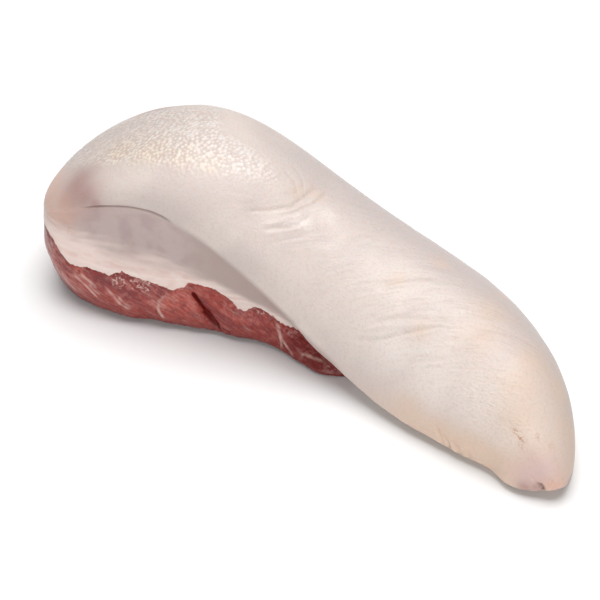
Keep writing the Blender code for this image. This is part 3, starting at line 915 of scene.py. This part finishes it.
# %% The skin's colours, coat over coat
SKIN_PALE = linear("#CCC0B9")
SKIN_GREY = linear("#C2B5B0")
PAINTED_SHEEN_WHITE = linear("#DDD3CD")
FAR_SIDE_SHADE = linear("#C0B4B0")
WARM_TAN_AND_SHADE = linear("#CDB5A3")
SKIN_PEACH = linear("#CFA796")
HOLLOW_MAUVE = linear("#B8A6A3")
VEIN_MAUVE = linear("#A18B8A")
BLUSH_AND_DENT_SHADE = linear("#A07F7A")
TIP_MAUVE = linear("#C0A3A5")
PAINTED_CREASE_SHADE = linear("#54392C")
BEIGE_STIPPLE_AND_FURROW_SHADE = linear("#B39F8F")
PAPILLA_CREAM = linear("#D2C9C4")
PAPILLA_YELLOW = linear("#D6C8B9")
PAPILLA_GAP = linear("#BCAEA7")
PAPILLA_TAN = linear("#BCA998")

skin = coat(SKIN_PALE, SKIN_GREY, (noise["patches"], 0.35, 0.65))
# painted sheen: lighter skin along the blade's near side and on two small ridges
skin = coat(skin, PAINTED_SHEEN_WHITE, mask["painted_sheen"], 0.7)
# painted shade: the far side is darker, as it turns away from the light
skin = coat(skin, FAR_SIDE_SHADE, mask["painted_far_side_shade"])
# partly beige stains, partly painted shade low on the blade's near edge and towards the tip
skin = coat(skin, WARM_TAN_AND_SHADE, mask["tan"])
hollow_skin = coat(HOLLOW_MAUVE, VEIN_MAUVE, (noise["veins"], 0.42, 0.68), 0.45)
skin = coat(skin, hollow_skin, mask["hollow"])
skin = coat(skin, TIP_MAUVE, mask["mauve"], 0.65)
skin = coat(skin, SKIN_PEACH, mask["peach"], 0.85)
# partly mauve blush, partly painted shade in a soft dent at the root end above the crease
skin = coat(skin, BLUSH_AND_DENT_SHADE, mask["blush_and_dent_shade"], 0.85)
papilla_gap = coat(PAPILLA_GAP, PAPILLA_TAN, mask["yellow"], 0.9)
papilla_top = coat(PAPILLA_CREAM, PAPILLA_YELLOW, mask["yellow"], 0.9)
skin = coat(skin, papilla_gap, mask["papilla_zone"], 0.6)
skin = coat(skin, papilla_top, (mask["papilla"], 0.08, 0.75), (mask["papilla_zone"], 0.1, 0.8))
# painted shade: beige darkening in the wrinkles' furrows
skin = coat(skin, BEIGE_STIPPLE_AND_FURROW_SHADE, mask["furrowed"], 0.3)
# the same beige as a fine random stipple
skin = coat(skin, BEIGE_STIPPLE_AND_FURROW_SHADE, (noise["stipple"], 0.48, 0.66), 0.22)
# painted shade: dark brown in the crease under the rim and in the tip's cleft
skin = coat(skin, PAINTED_CREASE_SHADE, mask["crease"], 0.7)
print("nodes for the skin:", len(tree.nodes))

# %% Fat, the painted shade under the rim, and stains
FAT_WHITE = linear("#DDCBC3")
FAT_PINK = linear("#CBA9A0")
PAINTED_TUCK_SHADE = linear("#A7958F")
STAIN_BROWN = linear("#AF8263")

streaked_fat = coat(FAT_WHITE, FAT_PINK, (noise["fat_streaks"], 0.42, 0.8), 0.6)
skin = coat(skin, streaked_fat, mask["fat"])
# painted shade: grey under the overhanging rim
skin = coat(skin, PAINTED_TUCK_SHADE, mask["tucked"], 0.9)
skin = coat(skin, STAIN_BROWN, mask["stain"], (noise["freckles"], 0.4, 0.6))
print("nodes with the fat:", len(tree.nodes))

# %% [markdown]
# ### Muscle
#
# The muscle's streaks follow its fibres; wine-dark and orange patches lie where
# the photograph shows them. Painted shade makes the flesh darker and redder
# near the sole and deep in the slits. White tissue laces over it, with painted
# wet glints among it. On the cut face the bundles show end on, with pale seams
# between them.

# %% The muscle's colours
MUSCLE_RED = linear("#9C3A31")
MUSCLE_DARK = linear("#74251F")
MUSCLE_PALE = linear("#B26E64")
MUSCLE_WINE = linear("#672127")
MUSCLE_ORANGE = linear("#B45649")
TISSUE_WHITE = linear("#C8A69C")
PAINTED_DEEP_SHADE = linear("#5E110B")

mottling, fibre_streaks = noise["mottling"], noise["fibres"]
places = node("ShaderNodeSeparateXYZ", {"Vector": mask["flow"]}).outputs
how_far, how_high = places["X"], places["Z"]
muscle = coat(MUSCLE_RED, MUSCLE_ORANGE, mask["orange"], 0.8)
muscle = coat(muscle, MUSCLE_PALE, mask["pale"], (mottling, 0.3, 0.5))
muscle = coat(muscle, MUSCLE_WINE, mask["wine"], 0.75)
muscle = coat(muscle, BLUSH_AND_DENT_SHADE, mask["blush_and_dent_shade"], (mottling, 0.35, 0.6))
muscle = coat(muscle, MUSCLE_DARK, (fibre_streaks, 0.54, 0.36), 0.5)
muscle = coat(muscle, MUSCLE_PALE, (fibre_streaks, 0.52, 0.68), 0.45)
muscle = coat(muscle, MUSCLE_DARK, (mottling, 0.52, 0.34), 0.65)
muscle = coat(muscle, MUSCLE_PALE, (mottling, 0.52, 0.66), 0.45)
muscle = coat(muscle, MUSCLE_WINE, (noise["wine_streaks"], 0.5, 0.66), 0.55)
muscle = coat(muscle, TISSUE_WHITE, (noise["tissue_streaks"], 0.56, 0.72), 0.35)
# painted shade: the flesh darkens towards the sole and is darkest where it meets the floor
muscle = coat(muscle, MUSCLE_DARK, (how_high, 18.0, 2.0), 0.6)
muscle = coat(muscle, PAINTED_DEEP_SHADE, (how_high, 7.0, 0.5), 0.6)
print("nodes with the flesh:", len(tree.nodes))

# %% White tissue and painted glints on the muscle, and the slits
LACE_AND_GLINT_WIDTH = 0.05                        # of the noise's range, round its middle
BUNDLE, BUNDLE_WANDER = 15 * MM, 12 * MM    # the bundles' width, and how far their seams wander
WANDER_SIZE = 9 * MM
CUT_FACE = (9.0, 3.0)                    # mm along, where the cut root's face begins and is full

muscle = coat(muscle, TISSUE_WHITE, mask["fascia"], (fibre_streaks, 0.25, 0.5))
# partly white tissue, partly painted wet glints: thin broken white lines
lace_and_glint_lines = node("ShaderNodeMath", {0: noise["lace_and_glints"], 1: 0.5, 2: LACE_AND_GLINT_WIDTH}, operation="COMPARE").outputs[0]
muscle = coat(muscle, TISSUE_WHITE, lace_and_glint_lines, (mask["lace_and_glints"], 0.2, 0.6), (noise["lace_gaps"], 0.45, 0.6), 0.8)
wander = node("ShaderNodeTexNoise", {"Vector": place, "Scale": 1 / WANDER_SIZE, "Detail": 3.0})
bundle_place = node("ShaderNodeVectorMath", {0: wander.outputs["Color"], 1: [BUNDLE_WANDER] * 3, 2: place},
                    operation="MULTIPLY_ADD")
bundle_ends = node("ShaderNodeTexVoronoi", {"Vector": bundle_place.outputs[0], "Scale": 1 / BUNDLE},
                   feature="DISTANCE_TO_EDGE")
seams = (bundle_ends.outputs["Distance"], 0.06, 0.0)
muscle = coat(muscle, TISSUE_WHITE, seams, (how_far, *CUT_FACE), 0.35)
# painted shade: dark red deep in the slits
muscle = coat(muscle, PAINTED_DEEP_SHADE, (mask["slit"], 0.12, 0.5))
print("nodes with the white tissue:", len(tree.nodes))

# %% The frayed border between skin and muscle
FRAY = 0.8                               # mm either way
SOFTNESS = 0.15                          # mm either way

fray = node("ShaderNodeMath", {0: noise["frayed"], 1: 2 * FRAY, 2: -FRAY}, operation="MULTIPLY_ADD")
border = node("ShaderNodeMath", {0: fray.outputs[0], 1: mask["above_cut"]}, operation="ADD")
is_skin = thinned((border.outputs[0], -SOFTNESS, SOFTNESS))
tree.links.new(coat(muscle, skin, is_skin), shader.inputs["Base Color"])
print("nodes with the border:", len(tree.nodes))

# %% [markdown]
# ### Wetness and the finest relief
#
# The muscle is wet and glossy, and the slit lies too deep to shine. The skin is
# satin under a thin moist film, which is thicker over the papillae. Pores, fine
# wrinkles and fibres, too fine for the mesh, are bumps in the material.

# %% How each finish shines
FINISHES = {                             # on the muscle, in the slit, on the skin, on the papillae
    "Roughness": (0.3, 0.3, 0.48, 0.48),
    "Specular IOR Level": (0.35, 0.1, 0.5, 0.5),
    "Coat Weight": (0.25, 0.05, 0.1, 0.25),
}
SAME_ALL_OVER = {                        # light goes a little way into the skin and the flesh
    "IOR": 1.4,
    "Subsurface Weight": 0.15,
    "Subsurface Radius": (1.0, 0.35, 0.2),
    "Subsurface Scale": 3 * MM,
    "Coat Roughness": 0.14,
}

in_slit = thinned((mask["slit"], 0.1, 0.5))
for socket, (on_muscle, slit_value, on_skin, on_papillae) in FINISHES.items():
    pairs = ((in_slit, on_muscle, slit_value), (mask["papilla_zone"], on_skin, on_papillae))
    lower, upper = (node("ShaderNodeMapRange", {"Value": share, "To Min": low, "To Max": high}).outputs[0]
                    for share, low, high in pairs)
    value = node("ShaderNodeMapRange", {"Value": is_skin, "To Min": lower, "To Max": upper}).outputs[0]
    tree.links.new(value, shader.inputs[socket])
for socket, value in SAME_ALL_OVER.items():
    shader.inputs[socket].default_value = value
print("finishes:", ", ".join(FINISHES))

# %% Pores, wrinkles, ripples and fibres
not_skin = node("ShaderNodeMath", {0: 1.0, 1: is_skin}, operation="SUBTRACT").outputs[0]
RELIEF = (                               # what is raised, how strongly, and how high in mm
    (thinned(noise["wrinkles"], mask["wrinkly"]), 0.85, 0.5),
    (thinned(noise["ripples"], mask["ripples"]), 1.0, 0.5),
    (noise["fibres"], thinned(not_skin, 0.8), 0.9),
)
relief = node("ShaderNodeBump", {"Height": noise["pores"], "Strength": 0.65, "Distance": 0.3 * MM})
for raised, strength, distance in RELIEF:
    relief = node("ShaderNodeBump", {"Height": raised, "Strength": strength, "Distance": distance * MM,
                                     "Normal": relief.outputs[0]})
for socket in ("Normal", "Coat Normal"):
    tree.links.new(relief.outputs[0], shader.inputs[socket])
tongue.data.materials.append(raw_tongue)
print("nodes in all:", len(tree.nodes))

# %% [markdown]
# ## Floor and light
#
# The photograph is a studio shot on white. A wide white floor, a pale sky and
# a large softbox overhead give the same soft shade. A smaller softbox in front
# of the tip puts the faint sheen on the moist skin.

# %% The floor and the sky
FLOOR_SIZE = 6.0                         # m
PAPER_ROUGHNESS = 0.9
SKY_STRENGTH = 0.26

bpy.ops.object.select_all(action="DESELECT")
bpy.ops.mesh.primitive_plane_add(size=FLOOR_SIZE, location=(0, 0, 0))
floor = bpy.context.active_object
floor.name = "studio_floor"
white_paper = bpy.data.materials.new("white_paper")
white_paper.use_nodes = True
paper_shader = white_paper.node_tree.nodes["Principled BSDF"]
paper_shader.inputs["Base Color"].default_value = linear("#ECECEC")
paper_shader.inputs["Roughness"].default_value = PAPER_ROUGHNESS
floor.data.materials.append(white_paper)
floor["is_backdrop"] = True

sky = bpy.data.worlds.new("studio")
sky.use_nodes = True
sky.node_tree.nodes["Background"].inputs["Color"].default_value = (1, 1, 1, 1)
sky.node_tree.nodes["Background"].inputs["Strength"].default_value = SKY_STRENGTH
bpy.context.scene.world = sky
print("floor, m:", tuple(floor.dimensions))


# %% The two softboxes
def softbox(name, place, width, power):
    """A round softbox that points at the tongue, with its place and width in metres."""
    turned = Vector(place).to_track_quat("Z", "Y").to_euler()
    bpy.ops.object.light_add(type="AREA", location=place, rotation=turned)
    lamp = bpy.context.active_object
    lamp.name = name
    lamp.data.shape = "DISK"
    lamp.data.size = width
    lamp.data.energy = power
    print(name, "at, m:", place, "with", power, "watts")


softbox("softbox_above", (-0.06, 0.12, 1.10), width=1.0, power=15.0)
softbox("softbox_in_front", (0.70, -0.93, 0.32), width=0.6, power=6.2)
bpy.context.scene.view_settings.view_transform = "Standard"
bpy.context.scene.view_settings.look = "None"

# %% [markdown]
# ## Hand the tongue over
#
# The new piece stands for the frame's plain solid and takes its place. The two
# boxes are kept, to see that the dressing changed no size.

# %% Finish
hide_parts("tongue")
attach(tongue, "root")
sizes = {"cad": [list(corner) for corner in cad_box], "visual": [list(corner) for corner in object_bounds()]}
print("sizes, mm:", [[round(v / MM, 1) for v in corner] for corner in sizes["visual"]])
